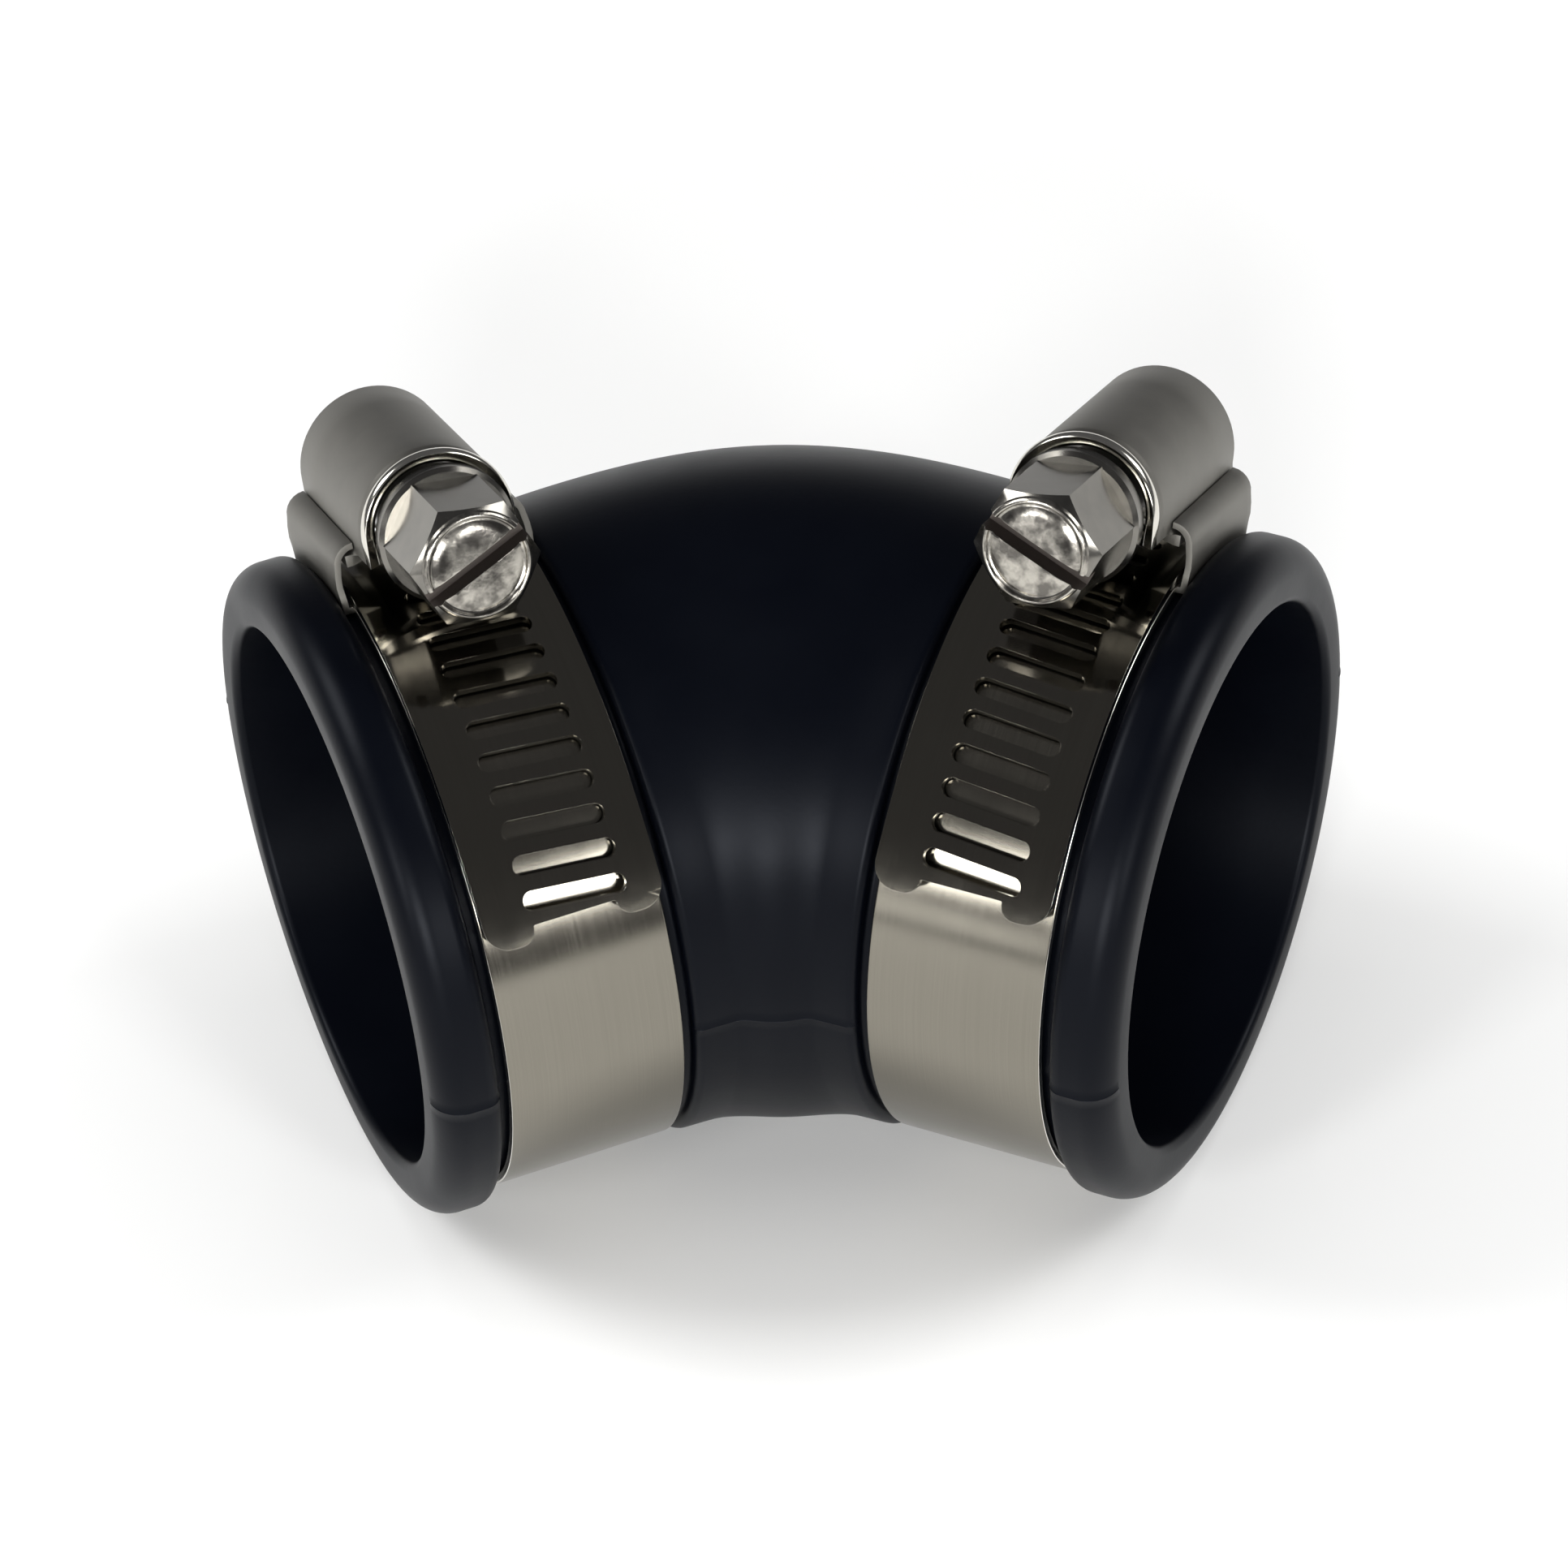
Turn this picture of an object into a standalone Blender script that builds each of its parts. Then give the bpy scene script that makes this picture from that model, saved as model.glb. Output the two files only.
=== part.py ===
"""Flexible 45 degree pipe coupling: a moulded rubber elbow with a worm-drive band clamp on each socket.

The bend lies level. The two socket axes meet at the bend point, which is BEND_Y and BEND_Z from the
origin, and the sockets point to -X and +X, both leaning towards -Y. Every clamp piece is built in its
clamp's own frame and parented to an empty on the socket's axis:
local Y is the socket's axis, local Z runs out through the housing, and local X is the screw's axis,
with the screw's head at +X.
"""

import math

import bmesh
import bpy
import numpy as np

MM = 0.001
GAP = 0.3 * MM                      # free space between two touching pieces

# Elbow
HALF_BEND = math.radians(22.5)      # each socket leans this much, which makes a 45 degree bend
BEND_Y = 6.52 * MM                  # bend point from the origin, the centre of the object's base
BEND_Z = 23.75 * MM
SOCKET_END = 34.2 * MM              # bend point to the flat front face of a rim
BORE_R = 19.5 * MM                  # slips on a 38 mm tube
PIPE_STOP = 13.0 * MM               # bend point to the shoulder that stops the tube
PASSAGE_R = 18.0 * MM               # waterway between the two pipe stops
BEND_R = 30.0 * MM                  # radius of the centre line's curve
SEAT_R = 21.8 * MM                  # bottom of the seat that a band lies in
SEAT_HALF = 7.15 * MM
BEAD_R = 23.75 * MM                 # crown of the rim's bead
BODY_R = 22.95 * MM                 # skin beside the band
BULGE = 0.8 * MM                    # the skin's swelling at the middle of the bend
RIM_ROUND = 2.3 * MM                # roundings: the rim's outer corner and its inner lip,
LIP_ROUND = 0.5 * MM                # and the corners beside the seat
FLANK_ROUND = 1.1 * MM
SHOULDER_ROUND = 0.65 * MM
ELBOW_SIDES = 44

# Clamp band, half inch strip
CLAMP_S = 22.5 * MM                 # bend point to the middle of a band
BAND_HALF = 6.35 * MM
BAND_T = 0.6 * MM
LOOP_R = SEAT_R + GAP               # inner face of the loop
TAIL_R = LOOP_R + BAND_T + 0.25 * MM
THREAD_PITCH = 2.4 * MM             # one slot to the next, and one turn of the screw
MESH_R = TAIL_R + BAND_T / 2        # the screw meets the tail here
SLOT_STEP = THREAD_PITCH / MESH_R   # one slot to the next, as an angle round the loop
SLOT_HALF = 3.6 * MM
SLOT_W = 1.35 * MM
SLOT_SLANT = math.radians(5.0)      # the thread's helix angle
SLOT_Y = 0.4 * MM                   # the row of slots is punched a little off the band's middle
SLOT_PHASE = math.radians(3.7)      # the slot nearest the housing's middle, with the screw unturned
TAIL_FROM = math.radians(-12.5)     # angles round the loop from the housing, towards the screw's head
TAIL_TO = math.radians(80.5)
TAIL_SLOTS = range(-2, 13)
FREE_FROM = math.radians(60.0)      # from here on the tail's free end stands off the loop a little more,
FREE_RISE = 0.85 * MM               # by this much at its tip
LOOP_FROM = math.radians(10.5)
LOOP_TO = math.radians(342.5)
STEP_FROM = math.radians(325.0)     # the loop's last stretch steps out here, onto the tail's radius
STEP_TO = math.radians(338.0)
LOOP_SLOTS = range(4, 17)           # more slots on the loop, counted back from the housing
LOBE_W = 3.4 * MM                   # round ears at the tail's free end
LOBE_DEEP = 1.1 * MM                # from the ears' tips in to the straight edge between them

# Housing, saddle and screw
HOUSING_LEAN = math.radians(21.5)
SCREW_Z = 27.35 * MM
DOME_R = 5.3 * MM
DOME_T = 0.8 * MM
DOME_FRONT = 8.4 * MM
DOME_REAR = -8.7 * MM
MOUTH = 1.6 * MM                    # length of the rolled mouth
FOOT_HALF = 6.1 * MM
FOOT_Z = 25.2 * MM
FOOT_T = 0.6 * MM
FOOT_FRONT = 4.7 * MM               # the feet end here, and the dome runs on to the screw's flange
SADDLE_HALF = 6.95 * MM
SADDLE_T = 0.45 * MM
SADDLE_TOP = 26.6 * MM
SADDLE_FOLD = 1.5 * MM              # outer radius of the fold
SADDLE_LIP = 5.4 * MM               # the folded edge ends here, beside the dome
SADDLE_REAR = math.radians(-20.5)
SADDLE_FRONT = math.radians(11.9)   # front of the saddle's sides
PLATE_FRONT = 3.65 * MM             # front of its plate, just short of the loop's fixed end
THREAD_R = 4.2 * MM
CORE_R = 3.25 * MM
NECK_R = 2.9 * MM
FLANGE_R = 4.8 * MM
HEX_AF = 7.94 * MM                  # five sixteenths of an inch across flats
HEAD_END = 17.4 * MM
HEAD_FROM = 10.4 * MM
CHAMFER = 0.55 * MM                 # the hexagon's flats are chamfered from this far back
CHAMFER_SLOPE = 0.6
DRIVE_SLOT_W = 1.15 * MM
DRIVE_SLOT_DEEP = 1.7 * MM
SCREW_TIP = -6.9 * MM
RIDGE_FOOT = 0.75 * MM              # half the ridge's width at its foot and at its crest
RIDGE_CREST = 0.3 * MM
THREAD_FROM = -5.6 * MM
THREAD_TO = 6.4 * MM

# Each clamp: its name, the side its socket points to, and the angle its screw was left at
CLAMPS = (("left", -1, math.radians(-157.0)), ("right", 1, math.radians(-22.0)))


def clear_scene():
    for obj in list(bpy.data.objects):
        bpy.data.objects.remove(obj, do_unlink=True)


def material(name, colour, roughness, metallic):
    made = bpy.data.materials.new(name)
    made.use_nodes = True
    shader = made.node_tree.nodes["Principled BSDF"]
    shader.inputs["Base Color"].default_value = (*colour, 1.0)
    shader.inputs["Roughness"].default_value = roughness
    shader.inputs["Metallic"].default_value = metallic
    return made


def add_object(name, bm, finish=None, parent=None, smooth_angle=math.radians(35)):
    """Turns a bmesh into an object; one with no finish is a hidden cutter or guide."""
    bmesh.ops.remove_doubles(bm, verts=bm.verts, dist=1e-6)
    bmesh.ops.recalc_face_normals(bm, faces=bm.faces)
    mesh = bpy.data.meshes.new(name)
    bm.to_mesh(mesh)
    bm.free()
    mesh.shade_smooth()
    mesh.set_sharp_from_angle(angle=smooth_angle)
    obj = bpy.data.objects.new(name, mesh)
    bpy.context.collection.objects.link(obj)
    obj.parent = parent
    if finish:
        mesh.materials.append(finish)
    else:
        obj.hide_render = True
        obj.display_type = "WIRE"
    return obj


def boolean(obj, other, operation):
    step = obj.modifiers.new(other.name, "BOOLEAN")
    step.operation = operation
    step.solver = "EXACT"
    step.object = other


def skin(bm, rings, close_ends=False, close_loop=False):
    """Joins rings of points, each a closed ring, into a tube, capped or joined end to end."""
    rows = [[bm.verts.new(point) for point in ring] for ring in rings]
    count = len(rows[0])
    pairs = list(zip(rows, rows[1:]))
    if close_loop:
        pairs.append((rows[-1], rows[0]))
    for near, far in pairs:
        for i in range(count):
            j = (i + 1) % count
            bm.faces.new((near[i], near[j], far[j], far[i]))
    if close_ends:
        bm.faces.new(rows[0])
        bm.faces.new(list(reversed(rows[-1])))


def block(bm, low, high):
    """A box between two corners."""
    made = bmesh.ops.create_cube(bm, size=1.0)["verts"]
    bmesh.ops.scale(bm, vec=[b - a for a, b in zip(low, high)], verts=made)
    bmesh.ops.translate(bm, vec=[(a + b) / 2 for a, b in zip(low, high)], verts=made)


def arc(centre, radius, start, end, steps):
    """Points of an arc in a plane, angles in degrees."""
    angles = np.radians(np.linspace(start, end, steps))
    return [(centre[0] + radius * math.cos(a), centre[1] + radius * math.sin(a)) for a in angles]


# Elbow

def centre_line(s, side):
    """A point and a direction of the elbow's centre line, s from the bend point measured on the
    socket's axis, and past the curve's start along the curve."""
    curve_from = BEND_R * math.tan(HALF_BEND)
    if s >= curve_from:
        lean = HALF_BEND
        x = s * math.cos(lean)
        y = -s * math.sin(lean)
    else:
        lean = HALF_BEND * s / curve_from
        x = BEND_R * math.sin(lean)
        y = BEND_R * math.cos(lean) - BEND_R / math.cos(HALF_BEND)
    direction = (math.cos(lean), -math.sin(lean) * side)
    return (x * side, y), direction


def elbow_ring(s, radius, side):
    (x, y), (dx, dy) = centre_line(s, side)
    ring = []
    for k in range(ELBOW_SIDES):
        turn = 2 * math.pi * k / ELBOW_SIDES
        out = radius * math.cos(turn)
        up = radius * math.sin(turn)
        ring.append((x - dy * out, BEND_Y + y + dx * out, BEND_Z + up))
    return ring


def elbow_outside():
    """Half of the elbow's outer profile as (s, radius), from the rim's face to the bend's middle."""
    edge = 0.05 * MM                # a rounding ends this far from the seat's wall
    rim = arc((SOCKET_END - RIM_ROUND, BEAD_R - RIM_ROUND), RIM_ROUND, 0, 90, 5)
    seat_out = CLAMP_S + SEAT_HALF
    seat_in = CLAMP_S - SEAT_HALF
    flank = arc((seat_out + FLANK_ROUND + edge, BEAD_R - FLANK_ROUND), FLANK_ROUND, 95, 180, 3)
    shoulder = arc((seat_in - SHOULDER_ROUND - edge, BODY_R - SHOULDER_ROUND), SHOULDER_ROUND, 0, 85, 3)
    body = [(s, BODY_R + BULGE * math.cos(math.pi / 2 * s / seat_in) ** 2)
            for s in np.linspace(seat_in - 3 * SHOULDER_ROUND, 0, 6)]
    return rim + flank + [(seat_out, SEAT_R), (seat_in, SEAT_R)] + shoulder + body


def elbow_inside():
    """Half of the elbow's inner profile as (s, radius), from the bend's middle to the rim's face."""
    bend = [(s, PASSAGE_R) for s in np.linspace(0, PIPE_STOP, 5)]
    lip = arc((SOCKET_END - LIP_ROUND, BORE_R + LIP_ROUND), LIP_ROUND, -90, 0, 3)
    return bend + [(PIPE_STOP, BORE_R)] + lip


def make_elbow(rubber):
    outside = elbow_outside()
    inside = elbow_inside()
    rings = [elbow_ring(s, r, -1) for s, r in outside]
    rings += [elbow_ring(s, r, 1) for s, r in reversed(outside[:-1])]
    rings += [elbow_ring(s, r, 1) for s, r in reversed(inside)]
    rings += [elbow_ring(s, r, -1) for s, r in inside[1:]]
    bm = bmesh.new()
    skin(bm, rings, close_loop=True)
    return add_object("elbow_body", bm, rubber)


# Clamp

def on_loop(angle, radius, y=0.0):
    return (radius * math.sin(angle), y, radius * math.cos(angle))


def strip(bm, angles, inner_radius):
    """A strip of band bent round the loop's axis, its inner face at inner_radius(angle)."""
    rings = []
    for angle in angles:
        low = inner_radius(angle)
        high = low + BAND_T
        rings.append([on_loop(angle, low, -BAND_HALF), on_loop(angle, high, -BAND_HALF),
                      on_loop(angle, high, BAND_HALF), on_loop(angle, low, BAND_HALF)])
    skin(bm, rings, close_ends=True)


def radial_prism(bm, outline, angle):
    """A cutter through the band at an angle round the loop. The outline is in (along, across)."""
    cos = math.cos(angle)
    sin = math.sin(angle)
    past = 2 * MM                   # the cutter runs past both faces of the strip
    rings = [[(along * cos + radius * sin, across, radius * cos - along * sin)
              for along, across in outline]
             for radius in (LOOP_R - past, TAIL_R + BAND_T + past)]
    skin(bm, rings, close_ends=True)


def slot_outline():
    """A round-ended slot across the band, slanted by the helix angle."""
    r = SLOT_W / 2
    reach = SLOT_HALF - r
    points = [(a, b + reach) for a, b in arc((0, 0), r, 0, 180, 5)]
    points += [(a, b - reach) for a, b in arc((0, 0), r, 180, 360, 5)]
    cos = math.cos(SLOT_SLANT)
    sin = math.sin(SLOT_SLANT)
    return [(a * cos + b * sin, SLOT_Y + b * cos - a * sin) for a, b in points]


def tail_end_outline():
    """What is cut from the tail's end: all beyond two round ears and the straight edge between."""
    past = 6 * MM                   # the cutter runs past the strip's end and sides
    wide = BAND_HALF + 1 * MM
    ear_r = LOBE_W / 2
    ear_y = BAND_HALF - ear_r
    right_ear = arc((-ear_r, ear_y), ear_r, 90, -35, 7)
    left_ear = [(x, -y) for x, y in reversed(right_ear)]
    corner = ear_y - ear_r - LOBE_DEEP / 2
    return ([(past, wide), (-ear_r, wide)] + right_ear + [(-LOBE_DEEP, corner), (-LOBE_DEEP, -corner)]
            + left_ear + [(-ear_r, -wide), (past, -wide)])


def tail_radius(angle):
    t = max(angle - FREE_FROM, 0.0) / (TAIL_TO - FREE_FROM)
    return TAIL_R + FREE_RISE * t * t


def make_tail(name, steel, axis, turn):
    bm = bmesh.new()
    strip(bm, np.linspace(TAIL_FROM, TAIL_TO + math.radians(3), 34), tail_radius)
    tail = add_object(name + "_clamp_band_tail", bm, steel, axis)
    cut = bmesh.new()
    for k in TAIL_SLOTS:
        radial_prism(cut, slot_outline(), k * SLOT_STEP + SLOT_PHASE)
    radial_prism(cut, tail_end_outline(), TAIL_TO)
    boolean(tail, add_object(name + "_tail_cutter", cut, parent=tail), "DIFFERENCE")
    tail.rotation_euler = (0, -turn * THREAD_PITCH / (2 * math.pi * MESH_R), 0)
    return tail


def loop_radius(angle):
    """The loop lies on its seat, and its last stretch steps out to come in at the tail's radius."""
    t = (angle - STEP_FROM) / (STEP_TO - STEP_FROM)
    t = min(max(t, 0.0), 1.0)
    return LOOP_R + (TAIL_R - LOOP_R) * t * t * (3 - 2 * t)


def make_loop(name, steel, axis):
    bm = bmesh.new()
    seat = np.linspace(LOOP_FROM, STEP_FROM, 72)
    step = np.linspace(STEP_FROM, STEP_TO, 6)[1:]
    strip(bm, [*seat, *step, LOOP_TO], loop_radius)
    loop = add_object(name + "_clamp_band", bm, steel, axis)
    cut = bmesh.new()
    for k in LOOP_SLOTS:
        radial_prism(cut, slot_outline(), -k * SLOT_STEP)
    boolean(loop, add_object(name + "_loop_cutter", cut, parent=axis), "DIFFERENCE")
    return loop


def extrude_section(bm, section, stations):
    """Carries a closed section in (y, z) along X; each station is (x, dome growth)."""
    rings = []
    for x, grow in stations:
        ring = []
        for y, z, outer in section:
            scale = 1 + grow / DOME_R if outer else 1
            ring.append((x, y * scale, SCREW_Z + (z - SCREW_Z) * scale))
        rings.append(ring)
    skin(bm, rings, close_ends=True)


def make_housing(name, steel, axis):
    """A domed cover over the screw, open below, its mouth rolled outwards and its feet turned out."""
    inner_r = DOME_R - DOME_T
    dome_out = [(y, z, True) for y, z in arc((0, SCREW_Z), DOME_R, 0, 180, 15)]
    dome_in = [(y, z, False) for y, z in arc((0, SCREW_Z), inner_r, 180, 0, 15)]
    foot_top = FOOT_Z + FOOT_T
    right = [(inner_r, FOOT_Z, False), (FOOT_HALF, FOOT_Z, False), (FOOT_HALF, foot_top, False),
             (DOME_R, foot_top, False)]
    left = [(-y, z, flag) for y, z, flag in reversed(right)]
    roll = 0.25 * MM                # the mouth stands this proud, and the rear is rolled in as much
    edge = 0.3 * MM
    bm = bmesh.new()
    extrude_section(bm, right + dome_out + left + dome_in,
                    [(DOME_REAR, -roll), (DOME_REAR + edge, 0), (DOME_FRONT - MOUTH, 0),
                     (DOME_FRONT - MOUTH / 2, roll), (DOME_FRONT - edge, roll), (DOME_FRONT, 0)])
    housing = add_object(name + "_clamp_housing", bm, steel, axis)
    cut = bmesh.new()
    past = 1 * MM
    for inner, outer in ((DOME_R, FOOT_HALF + past), (-FOOT_HALF - past, -DOME_R)):
        block(cut, (FOOT_FRONT, inner, FOOT_Z - past), (DOME_FRONT + past, outer, foot_top))
    boolean(housing, add_object(name + "_foot_cutter", cut, parent=axis), "DIFFERENCE")
    return housing


def make_saddle(name, steel, axis):
    """A curved plate under the tail. Its sides stand up, fold in over the housing's feet, and reach
    past the plate's front, beside the loop's fixed end."""
    bm = bmesh.new()
    side_out = SADDLE_HALF
    side_in = SADDLE_HALF - SADDLE_T
    top_in = SADDLE_TOP - SADDLE_T
    bend = (side_out - SADDLE_FOLD, SADDLE_TOP - SADDLE_FOLD)
    outer_bend = arc(bend, SADDLE_FOLD, 0, 90, 4)
    inner_bend = arc(bend, SADDLE_FOLD - SADDLE_T, 90, 0, 4)
    rings = []
    for angle in np.linspace(SADDLE_REAR, SADDLE_FRONT, 10):
        x = LOOP_R * math.sin(angle)
        low = LOOP_R * math.cos(angle)
        high = (LOOP_R + BAND_T) * math.cos(angle)
        half = [(side_out, low)] + outer_bend + [(SADDLE_LIP, SADDLE_TOP), (SADDLE_LIP, top_in)]
        half += inner_bend + [(side_in, high)]
        other = [(-y, z) for y, z in reversed(half)]
        rings.append([(x, y, z) for y, z in half + other])
    skin(bm, rings, close_ends=True)
    saddle = add_object(name + "_clamp_saddle", bm, steel, axis)
    cut = bmesh.new()
    past = 1 * MM
    front = LOOP_R * math.sin(SADDLE_FRONT) + past
    block(cut, (PLATE_FRONT, -side_in, SEAT_R - 2 * past), (front, side_in, LOOP_R + BAND_T + past / 10))
    boolean(saddle, add_object(name + "_plate_cutter", cut, parent=axis), "DIFFERENCE")
    return saddle


def turned(bm, profile, sides, turn_start=0.0):
    """A solid of revolution about local X, the profile given as (x, radius)."""
    rings = []
    for x, radius in profile:
        ring = []
        for k in range(sides):
            a = turn_start + 2 * math.pi * k / sides
            ring.append((x, radius * math.cos(a), radius * math.sin(a)))
        rings.append(ring)
    skin(bm, rings, close_ends=True)


def thread_ridge(bm):
    """A right-hand helical ridge with a flat crest. It runs out into the core at both ends."""
    per_turn = 16
    turns = (THREAD_TO - THREAD_FROM) / THREAD_PITCH
    count = round(turns * per_turn)
    root = CORE_R - 0.35 * MM       # the ridge starts inside the core
    run_out = 0.4 * per_turn
    rings = []
    for i in range(count + 1):
        x = THREAD_FROM + THREAD_PITCH * i / per_turn
        turn = 2 * math.pi * (x / THREAD_PITCH - SLOT_PHASE / SLOT_STEP) - math.pi / 2
        height = min(0.2 + 0.8 * min(i, count - i) / run_out, 1.0)
        crest = root + (THREAD_R - root) * height
        ring = []
        for dx, radius in ((-RIDGE_FOOT, root), (-RIDGE_CREST, crest), (RIDGE_CREST, crest), (RIDGE_FOOT, root)):
            ring.append((x + dx, radius * math.cos(turn), radius * math.sin(turn)))
        rings.append(ring)
    skin(bm, rings, close_ends=True)


def make_screw(name, steel, axis, turn):
    """Worm screw: core, helical ridge, neck, flange and a slotted hexagon head."""
    shank = bmesh.new()
    bevel = 0.35 * MM
    neck_from = THREAD_TO + 3 * bevel
    flange_from = DOME_FRONT + 0.6 * MM
    turned(shank, [(SCREW_TIP, CORE_R - 2 * bevel), (SCREW_TIP + 2 * bevel, CORE_R), (neck_from, CORE_R),
                   (neck_from + bevel, NECK_R), (flange_from - bevel / 2, NECK_R),
                   (flange_from, FLANGE_R - bevel / 2), (flange_from + bevel, FLANGE_R),
                   (HEAD_FROM - bevel, FLANGE_R), (HEAD_FROM, FLANGE_R - bevel)], 32)
    screw = add_object(name + "_clamp_screw", shank, steel, axis)
    ridge = bmesh.new()
    thread_ridge(ridge)
    boolean(screw, add_object(name + "_thread_guide", ridge, parent=screw), "UNION")
    hexagon = bmesh.new()
    corner_r = HEX_AF / math.sqrt(3)
    turned(hexagon, [(HEAD_FROM - bevel, corner_r), (HEAD_END, corner_r)], 6, math.radians(30))
    head = add_object(name + "_head_guide", hexagon, parent=screw)
    cone = bmesh.new()
    face_r = HEX_AF / 2 - 0.15 * MM
    wide_r = 6 * MM                 # the cone takes the hexagon's corners off, and clears them here
    cone_from = HEAD_END - CHAMFER - (wide_r - HEX_AF / 2) * CHAMFER_SLOPE
    turned(cone, [(HEAD_FROM - 3 * bevel, wide_r), (cone_from, wide_r), (HEAD_END - bevel, face_r),
                  (HEAD_END, face_r - bevel)], 32)
    boolean(head, add_object(name + "_chamfer_guide", cone, parent=screw), "INTERSECT")
    boolean(screw, head, "UNION")
    groove = bmesh.new()
    block(groove, (HEAD_END - DRIVE_SLOT_DEEP, -wide_r, -DRIVE_SLOT_W / 2),
          (HEAD_END + DRIVE_SLOT_DEEP, wide_r, DRIVE_SLOT_W / 2))
    boolean(screw, add_object(name + "_drive_slot_cutter", groove, parent=screw), "DIFFERENCE")
    screw.location = (0, 0, SCREW_Z)
    screw.rotation_euler = (turn, 0, 0)
    return screw


def make_clamp(name, side, turn, strip_steel, housing_steel, screw_steel):
    axis = bpy.data.objects.new(name + "_clamp_axis", None)
    bpy.context.collection.objects.link(axis)
    along_x = CLAMP_S * math.cos(HALF_BEND) * side
    along_y = -CLAMP_S * math.sin(HALF_BEND)
    axis.location = (along_x, BEND_Y + along_y, BEND_Z)
    axis.rotation_euler = (0, -HOUSING_LEAN, -math.pi / 2 - side * HALF_BEND)
    make_loop(name, strip_steel, axis)
    make_tail(name, strip_steel, axis, turn)
    make_housing(name, housing_steel, axis)
    make_saddle(name, housing_steel, axis)
    make_screw(name, screw_steel, axis, turn)


def main():
    clear_scene()
    rubber = material("black_rubber", (0.006, 0.007, 0.009), 0.45, 0.0)
    strip_steel = material("bright_strip_steel", (0.60, 0.58, 0.54), 0.12, 1.0)
    housing_steel = material("satin_steel", (0.42, 0.41, 0.38), 0.38, 1.0)
    screw_steel = material("plated_screw_steel", (0.55, 0.54, 0.52), 0.25, 1.0)
    make_elbow(rubber)
    for name, side, turn in CLAMPS:
        make_clamp(name, side, turn, strip_steel, housing_steel, screw_steel)


main()
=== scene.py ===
"""Looks of a flexible 45 degree pipe coupling: a moulded rubber elbow with a worm-drive band clamp on each
socket.

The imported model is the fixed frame, and each of its nodes is replaced by a finer piece of the same size.
Sizes are in metres; a size in millimetres is multiplied by MM. Every clamp piece is modelled once in the
clamp's own frame, where Y is the socket's axis, Z runs out through the housing, and X is the way to the
screw's head. Angles round the band are counted from Z towards X.
"""

import math

import bmesh
import bpy
from mathutils import Euler, Matrix, Vector


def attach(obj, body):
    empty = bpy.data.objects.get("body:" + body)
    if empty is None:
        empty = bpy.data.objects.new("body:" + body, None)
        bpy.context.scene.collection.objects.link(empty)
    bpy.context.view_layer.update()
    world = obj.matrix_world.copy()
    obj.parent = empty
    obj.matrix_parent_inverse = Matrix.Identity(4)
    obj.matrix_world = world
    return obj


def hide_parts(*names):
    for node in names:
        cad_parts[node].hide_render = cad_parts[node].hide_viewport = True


MM = 0.001
SIDES = ("left", "right")

# Elbow
BEND_POINT = Vector((0, 6.52, 23.75)) * MM      # where the two socket axes meet, in the frame
HALF_BEND = math.radians(22.5)
SOCKET_END = 34.2 * MM
BORE_R = 19.5 * MM
PIPE_STOP = 13.0 * MM
PASSAGE_R = 18.0 * MM
BEND_R = 30.0 * MM
SEAT_MIDDLE = 22.5 * MM
SEAT_HALF = 7.15 * MM
SEAT_R = 21.8 * MM
BEAD_R = 23.75 * MM
BODY_R = 22.95 * MM
BULGE = 0.8 * MM
RIM_ROUND = 2.3 * MM
LIP_ROUND = 0.6 * MM
FLANK_ROUND = 1.1 * MM
SHOULDER_ROUND = 0.65 * MM
SEAT_FILLET = 0.3 * MM
ELBOW_SIDES = 176
SEAM_WIDTH = 0.3 * MM                           # the mould's parting line, in the plane of the bend
SEAM_HEIGHT = 0.05 * MM

# Band
BAND_WIDTH = 12.7 * MM
BAND_T = 0.6 * MM
LOOP_R = 22.1 * MM                              # inside the loop
LOOP_MID_R = 22.4 * MM                          # in the middle of the loop's thickness
TAIL_MID_R = 23.25 * MM
PITCH = 2.4 * MM                                # one slot to the next, and one turn of the screw
SLOT_STEP = PITCH / TAIL_MID_R
SLOT_LENGTH = 7.2 * MM
SLOT_WIDTH = 1.35 * MM
SLOT_SLANT = math.radians(5.0)
SLOT_ASIDE = 0.4 * MM
SLOT_PHASE = math.radians(3.7)
TAIL_FROM = math.radians(-12.5)
TAIL_TO = math.radians(80.5)
TAIL_SLOTS = range(-2, 13)
FREE_FROM = math.radians(60.0)                  # the tail's free end stands off the loop from here on
FREE_RISE = 0.85 * MM
LOOP_FROM = math.radians(10.5)
LOOP_TO = math.radians(342.5)
LOOP_STEP = (math.radians(325.0), math.radians(338.0))
LOOP_SLOTS = range(4, 17)
EAR_LENGTH = 1.1 * MM
EAR_WIDTH = 3.4 * MM
EAR_CORNER = 0.95 * EAR_LENGTH
NOTCH_CORNER = 0.35 * MM
BAND_EDGE = 0.15 * MM
BEND_EVERY = math.radians(1.2)

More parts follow.
